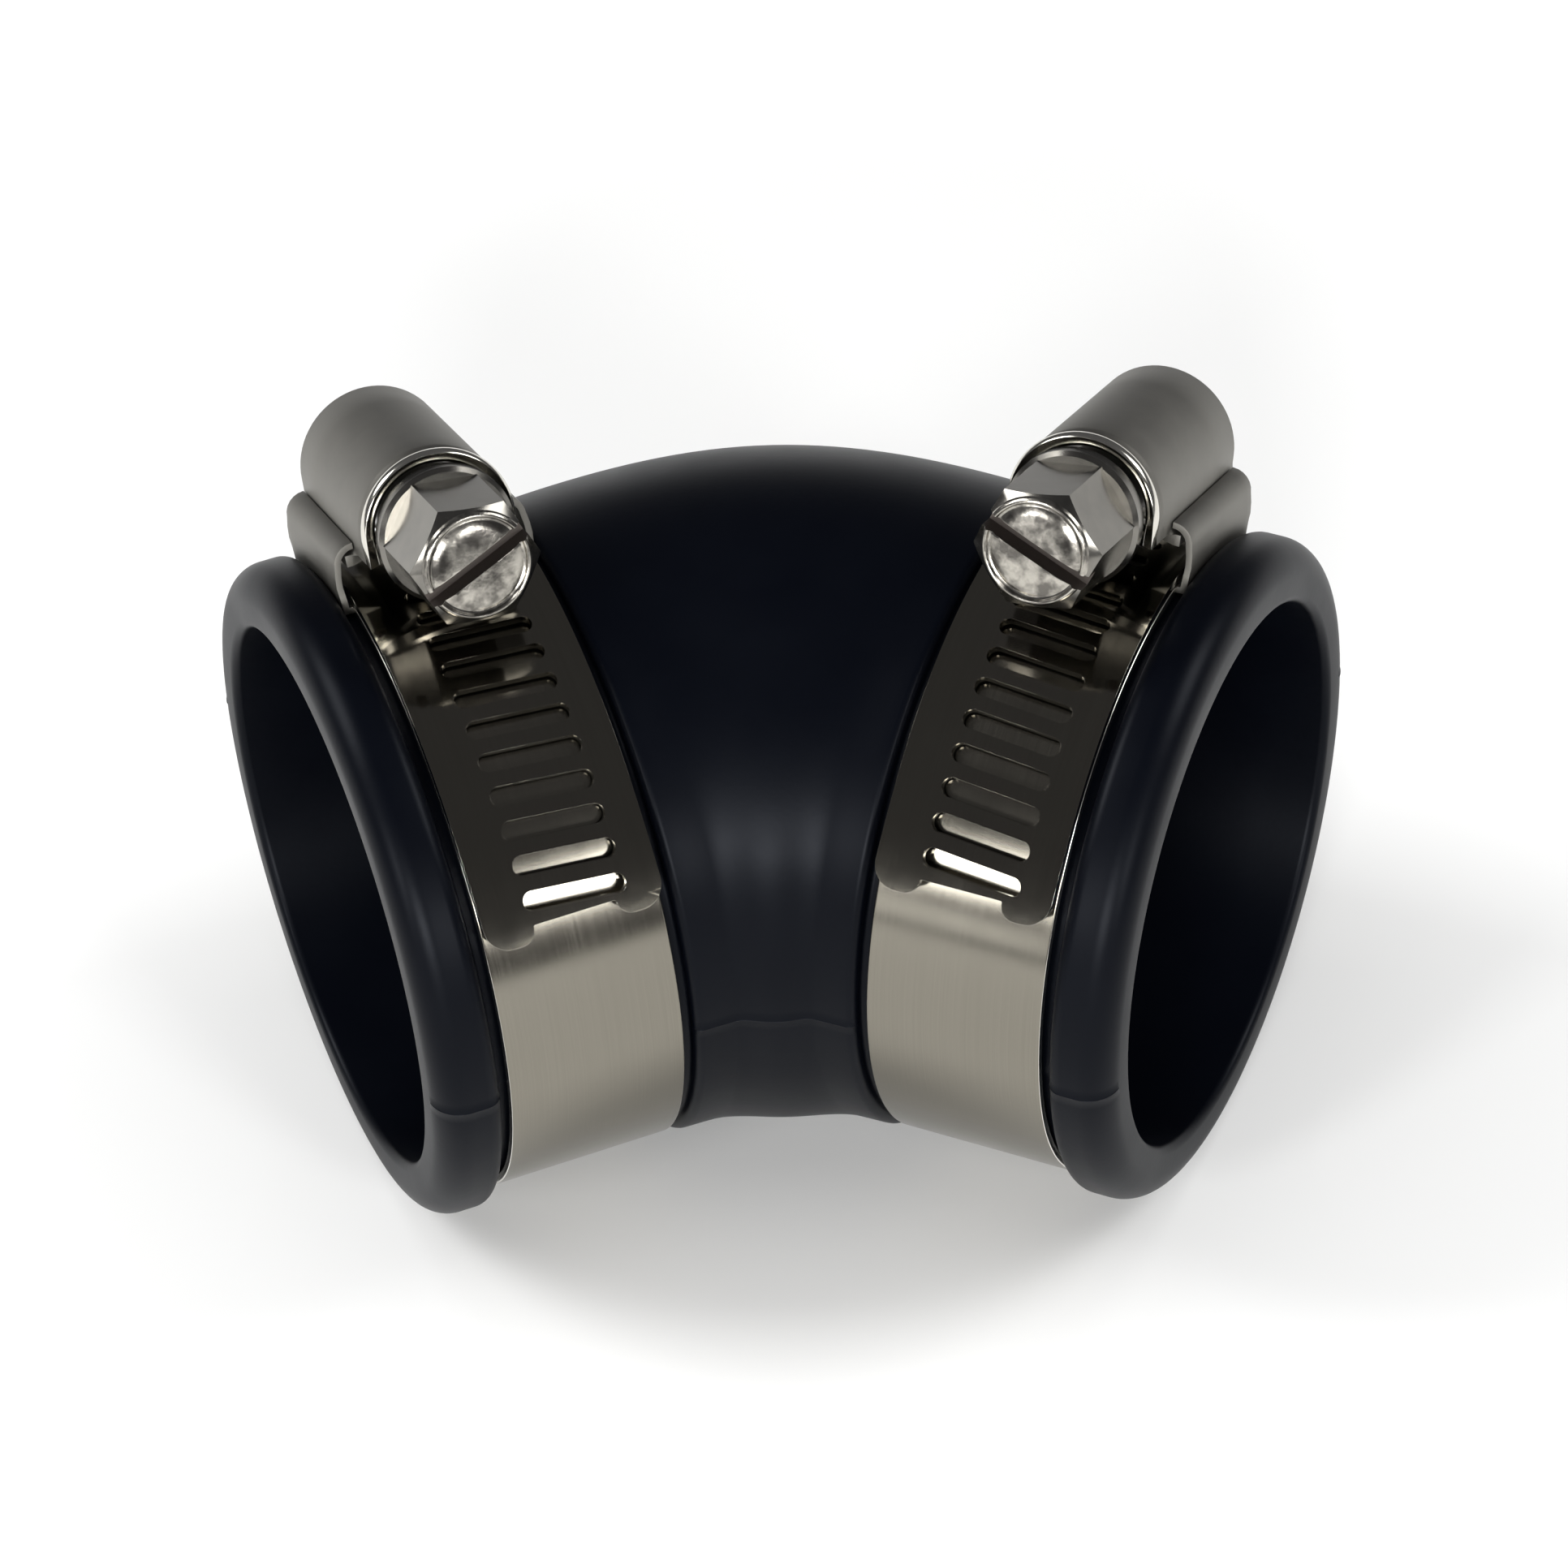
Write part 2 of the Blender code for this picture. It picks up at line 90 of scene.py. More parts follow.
# Housing and saddle
HOUSING_LEAN = math.radians(21.5)
SCREW_Z = 27.35 * MM
DOME_R = 5.3 * MM
DOME_T = 0.8 * MM
DOME_REAR = -8.7 * MM
FOOT_Z = 25.2 * MM
FOOT_T = 0.6 * MM
FOOT_HALF = 6.1 * MM
FOOT_FRONT = 4.7 * MM
SADDLE_HALF = 6.95 * MM
SADDLE_T = 0.45 * MM
SADDLE_LIP = 5.4 * MM
SADDLE_REAR = math.radians(-20.5)
SADDLE_FRONT = math.radians(11.9)
PLATE_FRONT = 3.65 * MM
REAR_ROLL = 1.0 * MM                            # how far the dome's rear is rolled in
DOME_STATIONS = tuple((place * MM, grow * MM) for place, grow in (
    (-8.65, -0.7), (-8.5, -0.4), (-8.25, -0.17), (-7.9, 0), (-4, 0), (0, 0), (4.7, 0), (6.5, 0),
    (6.8, -0.03), (7.05, -0.13), (7.3, -0.13), (7.5, 0.03), (7.75, 0.13), (8.05, 0.13), (8.3, 0.03),
    (8.4, -0.08)))
MOUTH_FROM = 7.3 * MM                           # the dome's mouth, rolled out into a ring
SADDLE_FOLD = 1.5 * MM
SADDLE_WALL = tuple((height * MM, aside * MM) for height, aside in (
    (22.9, 0.1), (23.6, 0.07), (24.4, -0.05), (25.1, -0.12)))
FOLD_STEPS = 6
PLATE_STEPS = 12
FOOT_BEND = 0.45 * MM                           # rounding where the dome's wall turns out to its foot
HOUSING_EDGE = 0.3 * MM
SADDLE_EDGE = 0.12 * MM

# Screw
THREAD_R = 4.2 * MM
CORE_R = 3.25 * MM
NECK_R = 2.9 * MM
FLANGE_R = 4.8 * MM
FLANGE_FROM = 9.0 * MM
HEX_FLATS = 7.94 * MM
HEAD_FROM = 10.4 * MM
HEAD_END = 17.4 * MM
SCREW_TIP = -6.9 * MM
SCREW_STEP = 0.35 * MM                          # how far the screw's shoulders are chamfered
HEAD_CHAMFER = 0.6                              # slope of the hexagon's corners towards its round face
HEAD_EDGE = 0.09 * MM
RIDGE_FOOT = 0.75 * MM                          # half widths of the thread's ridge
RIDGE_CREST = 0.3 * MM
RIDGE_SINK = 0.35 * MM                          # how deep its foot is sunk into the core
RIDGE_TAPER = 0.6 * MM
THREAD_FROM = -5.6 * MM
THREAD_TO = 6.4 * MM
DRIVE_SLOT_WIDTH = 1.15 * MM
DRIVE_SLOT_DEPTH = 1.7 * MM
HEAD_FACE = tuple((depth * MM, radius * MM) for depth, radius in (     # a rim, a ring groove, a low button
    (0.14, 3.74), (0.03, 3.62), (0.0, 3.52), (0.03, 3.44), (0.2, 3.34), (0.26, 3.2), (0.22, 3.08),
    (0.12, 2.86), (0.06, 2.5), (0.02, 1.9), (0.0, 1.2)))
FACE_DEPTH = 0.3 * MM
TURNED_SIDES = 72
SCREW_TURN = {"left": math.radians(-157.0), "right": math.radians(-22.0)}

# Camera, given from the bend point
CAMERA_AZIMUTH = math.radians(3.22)
CAMERA_ELEVATION = math.radians(43.85)
CAMERA_ROLL = math.radians(-3.59)
CAMERA_DISTANCE = 500 * MM
CAMERA_ASIDE = Vector((0.26, -1.93)) * MM
CAMERA_LENS = 161.7
CAMERA_SENSOR = 36.0

# Lights: azimuth and elevation in degrees, distance, width and height in metres, and power in watts. The
# front boxes shine in the loops through the last slots, and miss the bands' free ends.
LIGHTS = (
    ("box_left", -97, 42, 1.4, 0.6, 0.6, 10),
    ("box_right", 97, 42, 1.4, 0.6, 0.6, 7.5),
    ("box_front_left", -41.5, 24.5, 1.3, 0.17, 0.36, 3.8),
    ("box_front_right", 35.5, 23, 1.3, 0.19, 0.34, 3.9),
    ("box_front", -4, 23, 1.3, 0.42, 0.22, 9.5),
    ("box_low_left", -42, 6, 1.3, 0.3, 0.16, 0.35),
    ("ceiling", 0, 90, 1.5, 1.6, 1.6, 9.5))
ROOM = "#565658"

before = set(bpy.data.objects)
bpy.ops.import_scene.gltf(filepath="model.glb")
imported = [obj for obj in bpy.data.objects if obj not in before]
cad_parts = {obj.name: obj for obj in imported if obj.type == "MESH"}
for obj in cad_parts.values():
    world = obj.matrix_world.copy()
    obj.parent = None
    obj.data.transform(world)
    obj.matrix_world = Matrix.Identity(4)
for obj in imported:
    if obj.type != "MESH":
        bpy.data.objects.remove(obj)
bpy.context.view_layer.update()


# Working by hand

def activate(obj):
    bpy.ops.object.select_all(action="DESELECT")
    obj.select_set(True)
    bpy.context.view_layer.objects.active = obj


def settle(obj):
    """Puts the object's place, turn and scale into its mesh."""
    activate(obj)
    bpy.ops.object.transform_apply(location=True, rotation=True, scale=True)
    return obj


def add(primitive, name, **settings):
    """Adds a mesh primitive, with its place in its mesh."""
    bpy.ops.object.select_all(action="DESELECT")
    getattr(bpy.ops.mesh, "primitive_" + primitive + "_add")(**settings)
    obj = bpy.context.active_object
    obj.name = name
    return settle(obj)


def add_block(name, low, high):
    middle = [(a + b) / 2 for a, b in zip(low, high)]
    return add("cube", name, size=1.0, location=middle, scale=[b - a for a, b in zip(low, high)])


def start_edit(obj):
    activate(obj)
    bpy.ops.object.mode_set(mode="EDIT")
    bpy.ops.mesh.select_mode(type="VERT")


def end_edit():
    bpy.ops.object.mode_set(mode="OBJECT")


def pick(test):
    """In edit mode, selects the points whose place passes the test, and what lies between them."""
    mesh = bpy.context.edit_object.data
    bpy.ops.mesh.select_all(action="DESELECT")
    bm = bmesh.from_edit_mesh(mesh)
    for point in bm.verts:
        point.select = bool(test(point.co))
    bm.select_flush_mode()
    bmesh.update_edit_mesh(mesh)


def pick_edges(test):
    """In edit mode, selects the edges whose two ends pass the test."""
    mesh = bpy.context.edit_object.data
    bpy.ops.mesh.select_all(action="DESELECT")
    bpy.ops.mesh.select_mode(type="EDGE")
    bm = bmesh.from_edit_mesh(mesh)
    for edge in bm.edges:
        edge.select = bool(test(*[point.co for point in edge.verts]))
    bm.select_flush_mode()
    bmesh.update_edit_mesh(mesh)


def apply(obj, kind, **settings):
    """Adds a modifier to the object and applies it."""
    activate(obj)
    step = obj.modifiers.new(kind, kind)
    for name, value in settings.items():
        setattr(step, name, value)
    bpy.ops.object.modifier_apply(modifier=step.name)


def combine(obj, other, operation):
    """Cuts, joins or crops an object by another, which is used up."""
    apply(obj, "BOOLEAN", object=other, operation=operation, solver="EXACT")
    bpy.data.objects.remove(other, do_unlink=True)


def round_edges(obj, width, segments=3, angle=math.radians(40), slide=True):
    apply(obj, "BEVEL", width=width, segments=segments, limit_method="ANGLE", angle_limit=angle,
          loop_slide=slide)


def smooth(obj, angle=math.radians(35)):
    """Clears slivers away and shades the piece smooth, apart from edges sharper than the angle."""
    start_edit(obj)
    bpy.ops.mesh.select_all(action="SELECT")
    bpy.ops.mesh.dissolve_degenerate(threshold=0.001 * MM)
    end_edit()
    activate(obj)
    bpy.ops.object.shade_smooth_by_angle(angle=angle)


def face_outwards(obj):
    start_edit(obj)
    bpy.ops.mesh.select_all(action="SELECT")
    bpy.ops.mesh.remove_doubles(threshold=0.001 * MM)
    bpy.ops.mesh.normals_make_consistent(inside=False)
    end_edit()


def mark(obj, name, test):
    """Gives the faces that pass the test an attribute of 1, which a finish reads."""
    layer = obj.data.attributes.new(name, "FLOAT", "FACE")
    for face in obj.data.polygons:
        layer.data[face.index].value = float(test(face.center, face.normal))


# Elbow

def arc(centre, radius, start, end, steps):
    """Points of an arc, its angles in degrees."""
    points = []
    for i in range(steps + 1):
        angle = math.radians(start + (end - start) * i / steps)
        points.append((centre[0] + radius * math.cos(angle), centre[1] + radius * math.sin(angle)))
    return points


def elbow_section():
    """The wall's section as (distance from the bend point, radius): out along the skin, over the rim and
    back down the bore."""
    inner = SEAT_MIDDLE - SEAT_HALF
    outer = SEAT_MIDDLE + SEAT_HALF
    skin_to = inner - 2 * SHOULDER_ROUND
    skin_steps = 18
    skin = []
    for i in range(skin_steps + 1):
        s = skin_to * i / skin_steps
        skin.append((s, BODY_R + BULGE * math.cos(math.pi / 2 * s / inner) ** 2))
    shoulder = arc((inner - SHOULDER_ROUND, BODY_R - SHOULDER_ROUND), SHOULDER_ROUND, 90, 0, 6)
    seat = arc((inner + SEAT_FILLET, SEAT_R + SEAT_FILLET), SEAT_FILLET, 180, 270, 3)
    seat += arc((outer - SEAT_FILLET, SEAT_R + SEAT_FILLET), SEAT_FILLET, 270, 360, 3)
    flank = arc((outer + FLANK_ROUND, BEAD_R - FLANK_ROUND), FLANK_ROUND, 180, 90, 8)
    rim = arc((SOCKET_END - RIM_ROUND, BEAD_R - RIM_ROUND), RIM_ROUND, 90, 0, 14)
    lip = arc((SOCKET_END - LIP_ROUND, BORE_R + LIP_ROUND), LIP_ROUND, 0, -90, 5)
    stop = [(PIPE_STOP, BORE_R), (PIPE_STOP, PASSAGE_R)]
    bend_steps = 10
    bend = [(PIPE_STOP * (1 - i / bend_steps), PASSAGE_R) for i in range(1, bend_steps + 1)]
    return skin + shoulder + seat + flank + rim + lip + stop + bend


def centre_line(s):
    """Centre and lean of the elbow's ring at a distance from the bend point."""
    curve_from = BEND_R * math.tan(HALF_BEND)
    if s >= curve_from:
        lean = HALF_BEND
        place = Vector((s * math.cos(lean), -s * math.sin(lean), 0))
    else:
        lean = HALF_BEND * s / curve_from
        place = Vector((BEND_R * math.sin(lean), BEND_R * math.cos(lean) - BEND_R / math.cos(HALF_BEND), 0))
    return BEND_POINT + place, lean


def from_centre_line(point):
    """How far a point in the plane of the bend is from the elbow's centre line."""
    x, y = abs(point.x - BEND_POINT.x), point.y - BEND_POINT.y
    if x > BEND_R * math.tan(HALF_BEND):
        return abs(x * math.sin(HALF_BEND) + y * math.cos(HALF_BEND))
    return abs(math.hypot(x, y + BEND_R / math.cos(HALF_BEND)) - BEND_R)


def model_elbow():
    """Half of the elbow is drawn out ring by ring from the middle of the bend, and mirrored."""
    section = elbow_section()
    place, lean = centre_line(section[0][0])
    radius = section[0][1]
    elbow = add("circle", "elbow", vertices=ELBOW_SIDES, radius=radius, location=place,
                rotation=(0, math.pi / 2, 0))
    start_edit(elbow)
    bpy.ops.mesh.select_all(action="SELECT")
    for s, new_radius in section[1:]:
        new_place, new_lean = centre_line(s)
        grow = new_radius / radius
        bpy.ops.mesh.extrude_region_move()
        bpy.ops.transform.resize(value=(grow, grow, grow), center_override=place)
        bpy.ops.transform.rotate(value=new_lean - lean, orient_axis="Z", center_override=place)
        bpy.ops.transform.translate(value=new_place - place)
        place, lean, radius = new_place, new_lean, new_radius
    end_edit()
    apply(elbow, "MIRROR", merge_threshold=0.001 * MM)
    face_outwards(elbow)
    start_edit(elbow)
    on_seam = 0.01 * MM
    outside = SEAT_R - 0.1 * MM

    def seam(point):
        return abs(point.z - BEND_POINT.z) < on_seam and from_centre_line(point) > outside

    pick_edges(lambda a, b: seam(a) and seam(b))
    bpy.ops.mesh.bevel(offset=SEAM_WIDTH / 2, offset_type="WIDTH", segments=2, affect="EDGES")
    pick_edges(lambda a, b: seam(a) and seam(b))
    bpy.ops.transform.shrink_fatten(value=SEAM_HEIGHT)
    end_edit()
    smooth(elbow)
    return elbow


# Band

def flat_strip(name, start, end, radius):
    """A straight piece of strip, its place along X told by the angle it will have round the band."""
    return add_block(name, (start * radius, -BAND_T / 2, -BAND_WIDTH / 2),
                     (end * radius, BAND_T / 2, BAND_WIDTH / 2))


def punch_slots(strip, angles, radius):
    """Punches round-ended slots through a flat strip, one for each angle round the band."""
    reach = (SLOT_LENGTH - SLOT_WIDTH) / 2
    cutter = add("cylinder", "slot_punch", vertices=22, radius=SLOT_WIDTH / 2, depth=4 * BAND_T,
                 rotation=(math.pi / 2, 0, 0))
    start_edit(cutter)
    for way in (1, -1):
        pick(lambda co: co.z * way > 0)
        bpy.ops.transform.translate(value=(0, 0, way * reach))
    end_edit()
    cutter.rotation_euler = (0, SLOT_SLANT, 0)
    settle(cutter)
    row = []
    for angle in angles:
        punch = copy_piece(cutter, "slot_punch")
        punch.location = (angle * radius, 0, SLOT_ASIDE)
        row.append(settle(punch))
    bpy.data.objects.remove(cutter, do_unlink=True)
    combine(strip, join(row), "DIFFERENCE")


def shape_ears(strip, end):
    """Cuts a flat strip's end into two round ears with a straight edge between them."""
    inner = BAND_WIDTH / 2 - EAR_WIDTH
    notch = add_block("ear_notch", (end - EAR_LENGTH, -BAND_T, -inner), (end + EAR_LENGTH, BAND_T, inner))
    combine(strip, notch, "DIFFERENCE")
    start_edit(strip)
    near = 0.01 * MM
    for along, across, radius in ((end, BAND_WIDTH / 2, EAR_WIDTH / 2), (end, inner, EAR_CORNER),
                                  (end - EAR_LENGTH, inner, NOTCH_CORNER)):
        def corner(co, along=along, across=across):
            return abs(co.x - along) < near and abs(abs(co.z) - across) < near

        pick_edges(lambda a, b: corner(a) and corner(b) and abs(a.y - b.y) > near and abs(a.z - b.z) < near)
        bpy.ops.mesh.bevel(offset=radius, offset_type="OFFSET", segments=8, affect="EDGES")
    end_edit()


def roll_round(strip, start, end, radius, lift_from, rise):
    """Rounds a flat strip's edges and bends it round the band's centre. Its outer face looks to -Y while
    it's flat. From an angle on it is lifted, by a rise that is told by the angle."""
    round_edges(strip, BAND_EDGE, slide=False)
    cuts = round((end - start) / BEND_EVERY)
    start_edit(strip)
    bpy.ops.mesh.select_all(action="SELECT")
    bpy.ops.mesh.dissolve_limited(angle_limit=math.radians(1))
    for i in range(1, cuts):
        along = (start + (end - start) * i / cuts) * radius
        bpy.ops.mesh.select_all(action="SELECT")
        bpy.ops.mesh.bisect(plane_co=(along, 0, 0), plane_no=(1, 0, 0))
    end_edit()
    # Painted highlight: the side faces round the strip's outline, away from the slots, are marked to be
    # given a near-white colour.
    mark(strip, "painted_edge_highlight", lambda co, way: abs(way.y) < 0.9 and (
        abs(co.z) > SLOT_LENGTH / 2 + 2 * SLOT_ASIDE or co.x > end * radius - 2 * EAR_LENGTH))
    lift(strip, radius, lift_from, rise)
    mark_along(strip)
    apply(strip, "SIMPLE_DEFORM", deform_method="BEND", deform_axis="Z", angle=end - start)
    strip.location = (0, -radius, 0)
    settle(strip)
    strip.rotation_euler = (-math.pi / 2, 0, 0)
    settle(strip)
    smooth(strip)
    apply(strip, "WEIGHTED_NORMAL", keep_sharp=True)
    return strip


def lift(strip, radius, lift_from, rise):
    """Lifts a flat strip row by row; the points of a row are less than a hair apart along it."""
    hair = 0.001 * MM
    start_edit(strip)
    bm = bmesh.from_edit_mesh(strip.data)
    rows = []
    for place in sorted(point.co.x for point in bm.verts if point.co.x > lift_from * radius):
        if not rows or place - rows[-1] > hair:
            rows.append(place)
    for row in rows:
        pick(lambda co: 0 <= co.x - row <= hair)
        bpy.ops.transform.translate(value=(0, -rise(row / radius), 0))
    end_edit()


def step_out(angle):
    """The loop's last stretch steps out to the tail's radius, along an S curve."""
    step_from, step_to = LOOP_STEP
    t = min((angle - step_from) / (step_to - step_from), 1.0)
    return (TAIL_MID_R - LOOP_MID_R) * t * t * (3 - 2 * t)


def stand_off(angle):
    return FREE_RISE * ((angle - FREE_FROM) / (TAIL_TO - FREE_FROM)) ** 2


def mark_along(strip):
    """A UV map in millimetres along and across the strip, which the rolling marks follow."""
    layer = strip.data.uv_layers.new(name="along_strip")
    for corner in strip.data.loops:
        place = strip.data.vertices[corner.vertex_index].co
        layer.data[corner.index].uv = (place.x / MM, place.z / MM)


def model_loop():
    loop = flat_strip("loop", LOOP_FROM, LOOP_TO, LOOP_MID_R)
    punch_slots(loop, [math.tau - k * SLOT_STEP for k in LOOP_SLOTS], LOOP_MID_R)
    return roll_round(loop, LOOP_FROM, LOOP_TO, LOOP_MID_R, LOOP_STEP[0], step_out)


def model_tail():
    tail = flat_strip("tail", TAIL_FROM, TAIL_TO, TAIL_MID_R)
    punch_slots(tail, [k * SLOT_STEP + SLOT_PHASE for k in TAIL_SLOTS], TAIL_MID_R)
    shape_ears(tail, TAIL_TO * TAIL_MID_R)
    return roll_round(tail, TAIL_FROM, TAIL_TO, TAIL_MID_R, FREE_FROM, stand_off)


# Housing and saddle

def sheet_outwards(obj):
    """Turns an open sheet's faces outwards, told by its topmost face."""
    face_outwards(obj)
    start_edit(obj)
    bm = bmesh.from_edit_mesh(obj.data)
    crown = max(bm.faces, key=lambda face: face.calc_center_median().z)
    bpy.ops.mesh.select_all(action="SELECT")
    if crown.normal.z < 0:
        bpy.ops.mesh.flip_normals()
    end_edit()


def model_housing():
    """A domed cover over the screw, open below. Its mouth is coined and rounded, its rear is rolled in,
    and its feet are turned out."""
    foot_top = FOOT_Z + FOOT_T
    near = 0.01 * MM
    housing = add("circle", "housing", vertices=72, radius=DOME_R, location=(DOME_REAR, 0, SCREW_Z),
                  rotation=(0, math.pi / 2, 0))
    start_edit(housing)
    pick(lambda co: co.z < SCREW_Z - near)
    bpy.ops.mesh.delete(type="VERT")
    for way in (1, -1):
        pick(lambda co: abs(co.y - way * DOME_R) < near)
        bpy.ops.mesh.extrude_region_move()
        bpy.ops.transform.translate(value=(0, 0, foot_top - SCREW_Z))
        pick(lambda co: abs(co.y - way * DOME_R) < near and co.z < foot_top + near)
        bpy.ops.mesh.extrude_region_move()
        bpy.ops.transform.translate(value=(0, way * (FOOT_HALF - DOME_R), 0))
    bpy.ops.mesh.select_all(action="SELECT")
    place = DOME_REAR
    for station, _ in DOME_STATIONS:
        bpy.ops.mesh.extrude_region_move()
        bpy.ops.transform.translate(value=(station - place, 0, 0))
        place = station
    for station, grow in DOME_STATIONS + ((DOME_REAR, -REAR_ROLL),):
        pick(lambda co: abs(co.x - station) < near and co.z > SCREW_Z - near)
        size = 1 + grow / DOME_R
        bpy.ops.transform.resize(value=(1, size, size), center_override=(station, 0, SCREW_Z))
    pick(lambda co: co.x > FOOT_FRONT - near and abs(co.y) > DOME_R - near and co.z < foot_top + near)
    bpy.ops.mesh.select_mode(type="FACE")
    bpy.ops.mesh.delete(type="ONLY_FACE")
    bpy.ops.mesh.select_mode(type="VERT")
    pick(lambda co: co.x > FOOT_FRONT + near and abs(co.y) > FOOT_HALF - near)
    bpy.ops.mesh.delete(type="VERT")
    pick_edges(lambda a, b: all(abs(abs(co.y) - DOME_R) < near and co.z < foot_top + near
                                and co.x < FOOT_FRONT + near for co in (a, b)))
    bpy.ops.mesh.bevel(offset=FOOT_BEND, offset_type="OFFSET", segments=4, affect="EDGES")
    end_edit()
    sheet_outwards(housing)
    apply(housing, "SOLIDIFY", thickness=DOME_T, offset=-1, use_even_offset=True)
    round_edges(housing, HOUSING_EDGE, segments=4, angle=math.radians(50))
    smooth(housing, math.radians(40))
    # The mouth is marked for a glossier finish and a near-white colour; the colour is a painted highlight
    # on the ring.
    mark(housing, "mouth_polish_and_highlight", lambda co, way: co.x > MOUTH_FROM)
    return housing


def model_saddle():
    """A curved plate under the tail, its sides standing up and folded in over the housing's feet."""
    near = 0.01 * MM
    rear = LOOP_R * math.sin(SADDLE_REAR)
    front = LOOP_R * math.sin(SADDLE_FRONT)
    saddle = add_block("saddle", (rear, -SADDLE_HALF, 0), (front, SADDLE_HALF, 1 * MM))
    start_edit(saddle)
    pick(lambda co: co.z > near)
    bpy.ops.mesh.delete(type="VERT")
    stations = [SADDLE_REAR + (SADDLE_FRONT - SADDLE_REAR) * i / PLATE_STEPS
                for i in range(1, PLATE_STEPS)]
    stations.append(math.asin(PLATE_FRONT / LOOP_R))
    for angle in stations:
        bpy.ops.mesh.select_all(action="SELECT")
        bpy.ops.mesh.bisect(plane_co=(LOOP_R * math.sin(angle), 0, 0), plane_no=(1, 0, 0))
    for angle in stations + [SADDLE_REAR, SADDLE_FRONT]:
        pick(lambda co: abs(co.x - LOOP_R * math.sin(angle)) < near)
        bpy.ops.transform.translate(value=(0, 0, LOOP_R * math.cos(angle)))
    for way in (1, -1):
        pick(lambda co: abs(co.y - way * SADDLE_HALF) < near)
        for height, aside in SADDLE_WALL:
            bpy.ops.mesh.extrude_region_move()
            bpy.ops.transform.resize(value=(1, 1, 0), center_override=(0, 0, height))
            bpy.ops.transform.translate(value=(0, way * aside, 0))
        for i in range(FOLD_STEPS):
            before, after = (math.pi / 2 * (i + j) / FOLD_STEPS for j in (0, 1))
            across = SADDLE_FOLD * (math.cos(after) - math.cos(before))
            up = SADDLE_FOLD * (math.sin(after) - math.sin(before))
            bpy.ops.mesh.extrude_region_move()
            bpy.ops.transform.translate(value=(0, way * across, up))
        bpy.ops.mesh.extrude_region_move()
        bpy.ops.transform.translate(value=(0, way * (SADDLE_LIP - SADDLE_HALF + SADDLE_FOLD), 0))
    bpy.ops.mesh.select_mode(type="FACE")
    pick(lambda co: co.x > PLATE_FRONT - near and abs(co.y) < SADDLE_HALF + near and co.z < LOOP_R + near)
    bpy.ops.mesh.delete(type="ONLY_FACE")
    end_edit()
    sheet_outwards(saddle)
    apply(saddle, "SOLIDIFY", thickness=SADDLE_T, offset=-1, use_even_offset=True)
    round_edges(saddle, SADDLE_EDGE, angle=math.radians(50))
    smooth(saddle, math.radians(40))
    return saddle


# Screw

def turned(name, profile, sides, start=0.0):
    """A solid of revolution about X, drawn out ring by ring; the profile is (place along X, radius)."""
    place, radius = profile[0]
    obj = add("circle", name, vertices=sides, radius=radius, location=(place, 0, 0),
              rotation=(0, math.pi / 2, 0))
    obj.rotation_euler = (start, 0, 0)
    settle(obj)
    start_edit(obj)
    bpy.ops.mesh.select_all(action="SELECT")
    bpy.ops.mesh.edge_face_add()
    for next_place, next_radius in profile[1:]:
        size = next_radius / radius
        bpy.ops.mesh.extrude_region_move()
        bpy.ops.transform.resize(value=(1, size, size), center_override=(place, 0, 0))
        bpy.ops.transform.translate(value=(next_place - place, 0, 0))
        place, radius = next_place, next_radius
    end_edit()
    face_outwards(obj)
    return obj


def thread():
    """A right-hand helical ridge, drawn round the axis from its four-cornered section, its ends tapered."""
    root = CORE_R - RIDGE_SINK
    middle = (root + THREAD_R) / 2
    ridge = add("plane", "thread", size=1.0, location=(THREAD_FROM, middle, 0),
                scale=(2 * RIDGE_FOOT, THREAD_R - root, 1))
    start_edit(ridge)
    pick(lambda co: co.y > middle)
    bpy.ops.transform.resize(value=(RIDGE_CREST / RIDGE_FOOT, 1, 1), center_override=(THREAD_FROM, 0, 0))
    bpy.ops.mesh.select_all(action="SELECT")
    bpy.ops.mesh.delete(type="ONLY_FACE")
    end_edit()
    turns = round((THREAD_TO - THREAD_FROM) / PITCH)
    apply(ridge, "SCREW", axis="X", angle=math.tau, screw_offset=PITCH, iterations=turns, steps=40,
          render_steps=40)
    start_edit(ridge)
    bpy.ops.mesh.select_all(action="SELECT")
    bpy.ops.mesh.fill_holes(sides=4)
    end_edit()
    face_outwards(ridge)
    ridge.rotation_euler = (math.tau * (THREAD_FROM / PITCH - SLOT_PHASE / SLOT_STEP) - math.pi / 2, 0, 0)
    settle(ridge)
    past = 1.0 * MM
    over = THREAD_R + 0.1 * MM
    under = root - 0.2 * MM
    blank = turned("thread_blank", [(THREAD_FROM - past, under), (THREAD_FROM + RIDGE_TAPER, over),
                                    (THREAD_TO - RIDGE_TAPER, over), (THREAD_TO + past, under)], 48)
    combine(ridge, blank, "INTERSECT")
    return ridge


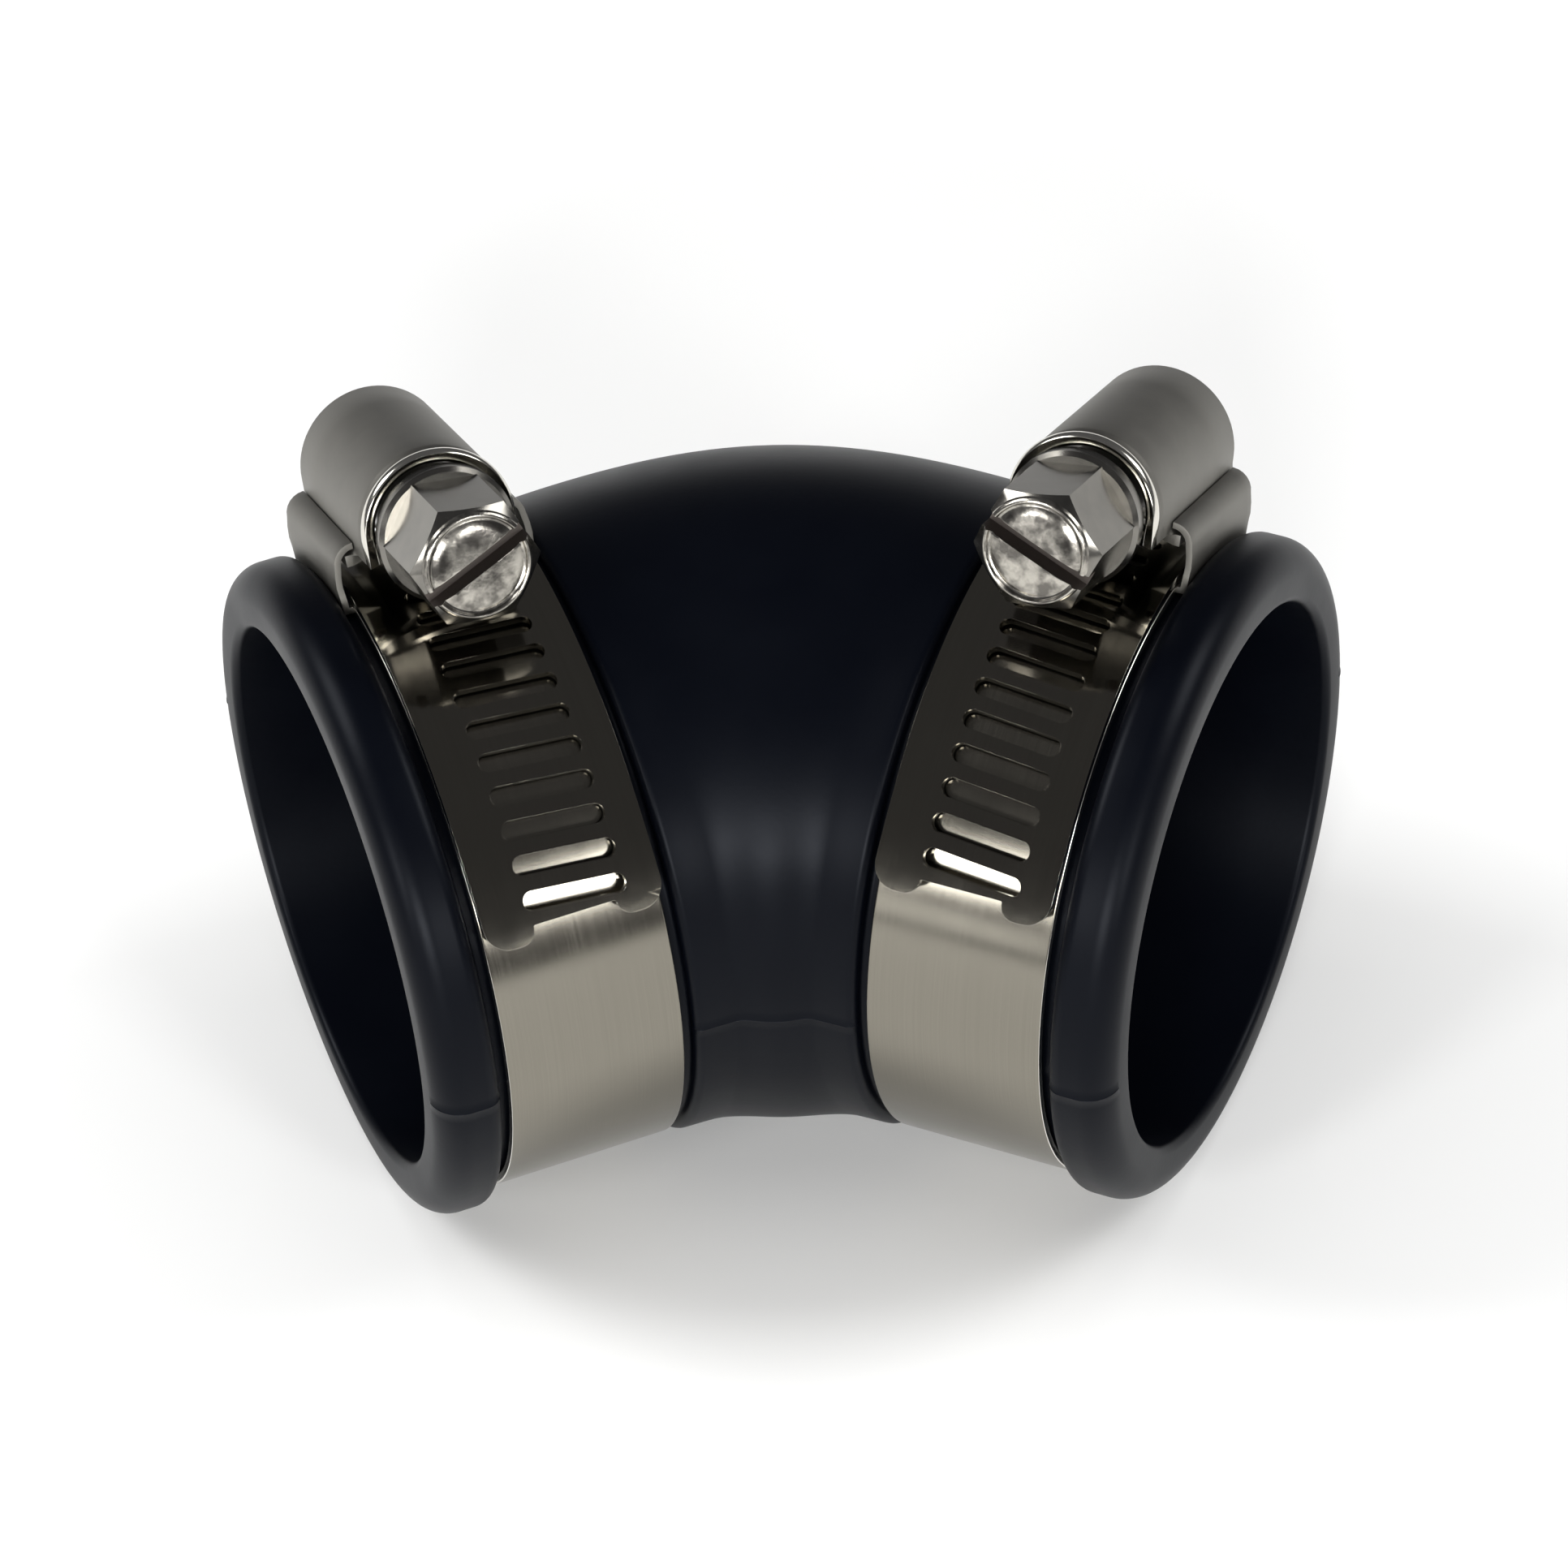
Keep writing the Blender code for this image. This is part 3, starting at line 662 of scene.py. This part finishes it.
def model_screw():
    """Worm screw: tip, core, thread, neck, flange and a chamfered, slotted hexagon head."""
    step = SCREW_STEP
    fine = 0.1 * MM
    neck_from = THREAD_TO + 3 * step
    shank = turned("screw", [(SCREW_TIP, CORE_R - 2 * step), (SCREW_TIP + 2 * step, CORE_R),
                             (neck_from, CORE_R), (neck_from + step, NECK_R), (FLANGE_FROM - fine, NECK_R),
                             (FLANGE_FROM, NECK_R + 3 * fine), (FLANGE_FROM, FLANGE_R - 2 * fine),
                             (FLANGE_FROM + 2 * fine, FLANGE_R), (HEAD_FROM - 3 * fine, FLANGE_R),
                             (HEAD_FROM, FLANGE_R - 3 * fine)], TURNED_SIDES)
    corner_r = HEX_FLATS / math.sqrt(3)
    head = turned("head", [(HEAD_FROM - step, corner_r), (HEAD_END + step, corner_r)], 6, math.radians(30))
    face_r = HEX_FLATS / 2 - 1.5 * fine
    wide = 6 * MM
    slope_from = HEAD_END - 5.5 * fine - (wide - HEX_FLATS / 2) * HEAD_CHAMFER
    crown = turned("crown", [(HEAD_FROM - 3 * step, wide), (slope_from, wide), (HEAD_END - step, face_r)]
                   + [(HEAD_END - depth, radius) for depth, radius in HEAD_FACE], TURNED_SIDES)
    combine(head, crown, "INTERSECT")
    groove = add_block("groove", (HEAD_END - DRIVE_SLOT_DEPTH, -wide, -DRIVE_SLOT_WIDTH / 2),
                       (HEAD_END + DRIVE_SLOT_DEPTH, wide, DRIVE_SLOT_WIDTH / 2))
    combine(head, groove, "DIFFERENCE")
    round_edges(head, HEAD_EDGE, angle=math.radians(22), slide=False)
    combine(shank, head, "UNION")
    combine(shank, thread(), "UNION")
    smooth(shank, math.radians(32))
    apply(shank, "WEIGHTED_NORMAL", keep_sharp=True)
    near = 0.05 * MM
    groove_floor = HEAD_END - DRIVE_SLOT_DEPTH
    mark(shank, "face", lambda co, way: (co.x > HEAD_END - FACE_DEPTH
                                         and math.hypot(co.y, co.z) < HEX_FLATS / 2))
    # The drive slot's walls and floor are marked, to be painted darker as shade and made rougher.
    mark(shank, "groove", lambda co, way: (groove_floor - near < co.x < HEAD_END - near
                                           and abs(co.z) < DRIVE_SLOT_WIDTH / 2 + near
                                           and (abs(way.z) > 0.9 or co.x < groove_floor + near)))
    return shank


# Placing

def copy_piece(obj, name):
    made = obj.copy()
    made.data = obj.data.copy()
    made.name = name
    bpy.context.collection.objects.link(made)
    return made


def join(objects):
    bpy.ops.object.select_all(action="DESELECT")
    for obj in objects:
        obj.select_set(True)
    bpy.context.view_layer.objects.active = objects[0]
    bpy.ops.object.join()
    return objects[0]


def clamp_place(name):
    """The clamp's own frame: its origin on the socket's axis, in the middle of the band's seat."""
    side = -1 if name == "left" else 1
    along = Vector((side * math.cos(HALF_BEND), -math.sin(HALF_BEND), 0)) * SEAT_MIDDLE
    turn = Euler((0, -HOUSING_LEAN, -math.pi / 2 - side * HALF_BEND))
    return Matrix.Translation(BEND_POINT + along) @ turn.to_matrix().to_4x4()


def put(piece, place, body, node, material):
    piece.matrix_world = place
    settle(piece)
    piece.data.materials.clear()
    piece.data.materials.append(material)
    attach(piece, body)
    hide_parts(node)


def place_clamps(finishes):
    """Both clamps are copies of one, and differ in how far their screws have been turned."""
    models = {"band": model_loop(), "band_tail": model_tail(), "housing": model_housing(),
              "saddle": model_saddle(), "screw": model_screw()}
    for name in SIDES:
        clamp = clamp_place(name)
        turn = SCREW_TURN[name]
        own = {"band_tail": Matrix.Rotation(-turn * PITCH / (math.tau * TAIL_MID_R), 4, "Y"),
               "screw": Matrix.Translation((0, 0, SCREW_Z)) @ Matrix.Rotation(turn, 4, "X")}
        bodies = {"band_tail": name + "_tail", "screw": name + "_screw"}
        for part, model in models.items():
            piece = copy_piece(model, name + "_" + part)
            finish, slot = finishes[part]
            put(piece, clamp @ own.get(part, Matrix()), bodies.get(part, name + "_clamp"),
                name + "_clamp_" + part, finish)
    for model in models.values():
        bpy.data.objects.remove(model, do_unlink=True)


# Finishes

def colour(code):
    """An sRGB hex value as linear RGBA."""
    parts = [int(code[i:i + 2], 16) / 255 for i in (1, 3, 5)]
    return tuple(p / 12.92 if p <= 0.04045 else ((p + 0.055) / 1.055) ** 2.4 for p in parts) + (1.0,)


def add_node(tree, kind, settings, links=()):
    """Adds a node; a setting is one of its sockets' values or one of its properties, and a link goes from
    another node's socket to one of its own."""
    node = tree.nodes.new("ShaderNode" + kind)
    for name, value in settings.items():
        if isinstance(name, int) or name in node.inputs:
            node.inputs[name].default_value = value
        else:
            setattr(node, name, value)
    for source, output, target in links:
        tree.links.new(source.outputs[output], node.inputs[target])
    return node


def new_material(name):
    material = bpy.data.materials.new(name)
    material.use_nodes = True
    tree = material.node_tree
    tree.nodes.clear()
    return material, tree


def moulded_rubber():
    """EPDM rubber from a textured mould: nearly black, a soft sheen, and a fine even grain."""
    material, tree = new_material("moulded_epdm_rubber")
    place = add_node(tree, "TexCoord", {})
    grain = add_node(tree, "TexNoise", {"Scale": 1 / (0.45 * MM), "Detail": 3.0, "Roughness": 0.6},
                     [(place, "Object", "Vector")])
    clouds = add_node(tree, "TexNoise", {"Scale": 1 / (7 * MM), "Detail": 3.0},
                      [(place, "Object", "Vector")])
    tint = add_node(tree, "Mix", {"data_type": "RGBA", 6: colour("#020308"), 7: colour("#04060c")},
                    [(clouds, 0, 0)])
    rough = add_node(tree, "MapRange", {"To Min": 0.34, "To Max": 0.46}, [(clouds, 0, "Value")])
    bump = add_node(tree, "Bump", {"Strength": 0.25, "Distance": 0.02 * MM}, [(grain, 0, "Height")])
    shader = add_node(tree, "BsdfPrincipled",
                      {"IOR": 1.5, "Specular IOR Level": 0.12, "Specular Tint": colour("#dfe4ee")},
                      [(tint, 2, "Base Color"), (rough, 0, "Roughness"), (bump, 0, "Normal")])
    add_node(tree, "OutputMaterial", {}, [(shader, 0, 0)])
    return material


def rolled_strip(name, smooth_to, rough_to):
    """Stainless strip, bright cold rolled: mirror-like and a little wavy, with faint lines along the way it
    was rolled, and a painted highlight on the side faces of its outline. The real lines are some 0.02 mm
    apart, and are drawn 0.12 mm apart so that they show."""
    material, tree = new_material(name)
    along = add_node(tree, "UVMap", {"uv_map": "along_strip"})
    stretch = add_node(tree, "Mapping", {"Scale": (1 / 25, 1 / 0.12, 1)}, [(along, 0, "Vector")])
    lines = add_node(tree, "TexNoise", {"Scale": 1.0, "Detail": 3.0, "Roughness": 0.6},
                     [(stretch, 0, "Vector")])
    place = add_node(tree, "TexCoord", {})
    handling = add_node(tree, "TexNoise", {"Scale": 1 / (4 * MM), "Detail": 4.0},
                        [(place, "Object", "Vector")])
    rolled = add_node(tree, "Mix", {"data_type": "RGBA", 6: colour("#7a766c"), 7: colour("#88847a")},
                      [(lines, 0, 0)])
    # Painted highlight: the outline's marked side faces are given a near-white colour so that the edges
    # read bright.
    edge = add_node(tree, "Attribute", {"attribute_name": "painted_edge_highlight"})
    tint = add_node(tree, "Mix", {"data_type": "RGBA", 7: colour("#f2efe8")},
                    [(edge, "Fac", 0), (rolled, 2, 6)])
    both = add_node(tree, "Math", {"operation": "MULTIPLY"}, [(lines, 0, 0), (handling, 0, 1)])
    rough = add_node(tree, "MapRange",
                     {"From Min": 0.1, "From Max": 0.4, "To Min": smooth_to, "To Max": rough_to},
                     [(both, 0, "Value")])
    waves = add_node(tree, "TexNoise", {"Scale": 1 / (5 * MM), "Detail": 1.0},
                     [(place, "Object", "Vector")])
    not_flat = add_node(tree, "Bump", {"Strength": 0.5, "Distance": 0.02 * MM}, [(waves, 0, "Height")])
    bump = add_node(tree, "Bump", {"Strength": 0.05, "Distance": 0.004 * MM},
                    [(lines, 0, "Height"), (not_flat, 0, "Normal")])
    shader = add_node(tree, "BsdfPrincipled", {"Metallic": 1.0},
                      [(tint, 2, "Base Color"), (rough, 0, "Roughness"), (bump, 0, "Normal")])
    add_node(tree, "OutputMaterial", {}, [(shader, 0, 0)])
    return material


def stamped_steel():
    """Stainless sheet, deep drawn and tumbled: an even satin with a fine grain and faint scuffs, and a
    glossier mouth whose colour is raised to near white as a painted highlight."""
    material, tree = new_material("tumbled_stainless_stamping")
    place = add_node(tree, "TexCoord", {})
    grain = add_node(tree, "TexNoise", {"Scale": 1 / (0.25 * MM), "Detail": 2.0},
                     [(place, "Object", "Vector")])
    scuffs = add_node(tree, "TexNoise", {"Scale": 1 / (2.2 * MM), "Detail": 5.0, "Distortion": 0.6},
                      [(place, "Object", "Vector")])
    # The mouth is made glossier and given a near-white colour: the gloss is real polish, the brighter
    # colour is a painted highlight.
    mouth_polish_and_highlight = add_node(tree, "Attribute", {"attribute_name": "mouth_polish_and_highlight"})
    satin = add_node(tree, "Mix", {"data_type": "RGBA", 6: colour("#777570"), 7: colour("#888680")},
                     [(scuffs, 0, 0)])
    tint = add_node(tree, "Mix", {"data_type": "RGBA", 7: colour("#d8d5cc")},
                    [(mouth_polish_and_highlight, "Fac", 0), (satin, 2, 6)])
    dull = add_node(tree, "MapRange", {"To Min": 0.47, "To Max": 0.57}, [(scuffs, 0, "Value")])
    rough = add_node(tree, "Mix", {"data_type": "FLOAT", 3: 0.17}, [(mouth_polish_and_highlight, "Fac", 0), (dull, 0, 2)])
    bump = add_node(tree, "Bump", {"Strength": 0.2, "Distance": 0.012 * MM}, [(grain, 0, "Height")])
    shader = add_node(tree, "BsdfPrincipled", {"Metallic": 1.0},
                      [(tint, 2, "Base Color"), (rough, 0, "Roughness"), (bump, 0, "Normal")])
    add_node(tree, "OutputMaterial", {}, [(shader, 0, 0)])
    return material


def headed_steel():
    """Stainless screw, cold headed and slotted: smooth flats, an uneven face with bright blotches, and a
    rough sawn slot whose walls and floor are painted darker as shade."""
    material, tree = new_material("cold_headed_stainless_screw")
    place = add_node(tree, "TexCoord", {})
    on_face = add_node(tree, "Attribute", {"attribute_name": "face"})
    groove = add_node(tree, "Attribute", {"attribute_name": "groove"})
    blotch = add_node(tree, "TexNoise", {"Scale": 1 / (1.5 * MM), "Detail": 3.0, "Roughness": 0.6},
                      [(place, "Object", "Vector")])
    patches = add_node(tree, "MapRange", {"From Min": 0.4, "From Max": 0.6}, [(blotch, 0, "Value")])
    flats = add_node(tree, "Mix", {"data_type": "RGBA", 6: colour("#6c6a66"), 7: colour("#8c8982")},
                     [(blotch, 0, 0)])
    face = add_node(tree, "Mix", {"data_type": "RGBA", 6: colour("#6b6863"), 7: colour("#b2aea5")},
                    [(patches, 0, 0)])
    outside = add_node(tree, "Mix", {"data_type": "RGBA"},
                       [(on_face, "Fac", 0), (flats, 2, 6), (face, 2, 7)])
    # Painted shade: the drive slot's walls and floor are given a darker colour.
    tint = add_node(tree, "Mix", {"data_type": "RGBA", 7: colour("#5a5450")},
                    [(groove, "Fac", 0), (outside, 2, 6)])
    smooth_flats = add_node(tree, "MapRange", {"To Min": 0.16, "To Max": 0.26}, [(blotch, 0, "Value")])
    dull = add_node(tree, "Mix", {"data_type": "FLOAT", 3: 0.45},
                    [(groove, "Fac", 0), (smooth_flats, 0, 2)])
    depth = add_node(tree, "MapRange", {"To Min": 0.08, "To Max": 0.6}, [(on_face, "Fac", "Value")])
    bump = add_node(tree, "Bump", {"Distance": 0.05 * MM},
                    [(depth, 0, "Strength"), (blotch, 0, "Height")])
    shader = add_node(tree, "BsdfPrincipled", {"Metallic": 1.0},
                      [(tint, 2, "Base Color"), (dull, 0, "Roughness"), (bump, 0, "Normal")])
    add_node(tree, "OutputMaterial", {}, [(shader, 0, 0)])
    return material


def pale_board():
    """The floor: matt white board, with a faint unevenness."""
    material, tree = new_material("matt_white_board")
    place = add_node(tree, "TexCoord", {})
    mottle = add_node(tree, "TexNoise", {"Scale": 1 / (60 * MM), "Detail": 2.0},
                      [(place, "Object", "Vector")])
    tint = add_node(tree, "Mix", {"data_type": "RGBA", 6: colour("#f1f1f0"), 7: colour("#f4f4f3")},
                    [(mottle, 0, 0)])
    shader = add_node(tree, "BsdfPrincipled", {"Roughness": 0.9, "Specular IOR Level": 0.2},
                      [(tint, 2, "Base Color")])
    add_node(tree, "OutputMaterial", {}, [(shader, 0, 0)])
    return material


# Floor, lights and camera

def make_floor():
    floor = add("plane", "stage_floor", size=4.0)
    floor.data.materials.append(pale_board())


def soft_box(name, azimuth, elevation, distance, width, height, power):
    """A rectangular light that faces the coupling. Its azimuth goes from the front round to the right."""
    light = bpy.data.lights.new(name, "AREA")
    light.shape = "RECTANGLE"
    light.size = width
    light.size_y = height
    light.energy = power
    box = bpy.data.objects.new(name, light)
    bpy.context.collection.objects.link(box)
    a, e = math.radians(azimuth), math.radians(elevation)
    way = Vector((math.sin(a) * math.cos(e), -math.cos(a) * math.cos(e), math.sin(e)))
    box.location = BEND_POINT + way * distance
    box.rotation_euler = way.to_track_quat("Z", "Y").to_euler()
    return box


def make_lights():
    world = bpy.data.worlds.new("dim_room")
    world.use_nodes = True
    world.node_tree.nodes["Background"].inputs["Color"].default_value = colour(ROOM)
    bpy.context.scene.world = world
    bpy.context.scene.view_settings.view_transform = "Standard"
    boxes = {row[0]: soft_box(*row) for row in LIGHTS}
    boxes["ceiling"].visible_glossy = False     # it whitens the board, and no metal mirrors it


def make_camera():
    lens = bpy.data.cameras.new("camera")
    lens.lens = CAMERA_LENS
    lens.sensor_width = CAMERA_SENSOR
    lens.clip_start = 10 * MM
    camera = bpy.data.objects.new("camera", lens)
    bpy.context.collection.objects.link(camera)
    aim = (Matrix.Rotation(CAMERA_AZIMUTH, 4, "Z") @ Matrix.Rotation(math.pi / 2 - CAMERA_ELEVATION, 4, "X")
           @ Matrix.Rotation(CAMERA_ROLL, 4, "Z"))
    camera.matrix_world = (Matrix.Translation(BEND_POINT) @ aim
                           @ Matrix.Translation((CAMERA_ASIDE.x, CAMERA_ASIDE.y, CAMERA_DISTANCE)))
    bpy.context.scene.camera = camera


finishes = {"band": (rolled_strip("rolled_stainless_strip", 0.16, 0.22), "bright_strip"),
            "band_tail": (rolled_strip("bright_rolled_stainless_strip", 0.08, 0.12), "bright_strip"),
            "screw": (headed_steel(), "plated_screw")}
finishes["housing"] = finishes["saddle"] = (stamped_steel(), "satin_stamping")

put(model_elbow(), Matrix(), "elbow", "elbow_body", moulded_rubber())
place_clamps(finishes)
make_floor()
make_lights()
make_camera()
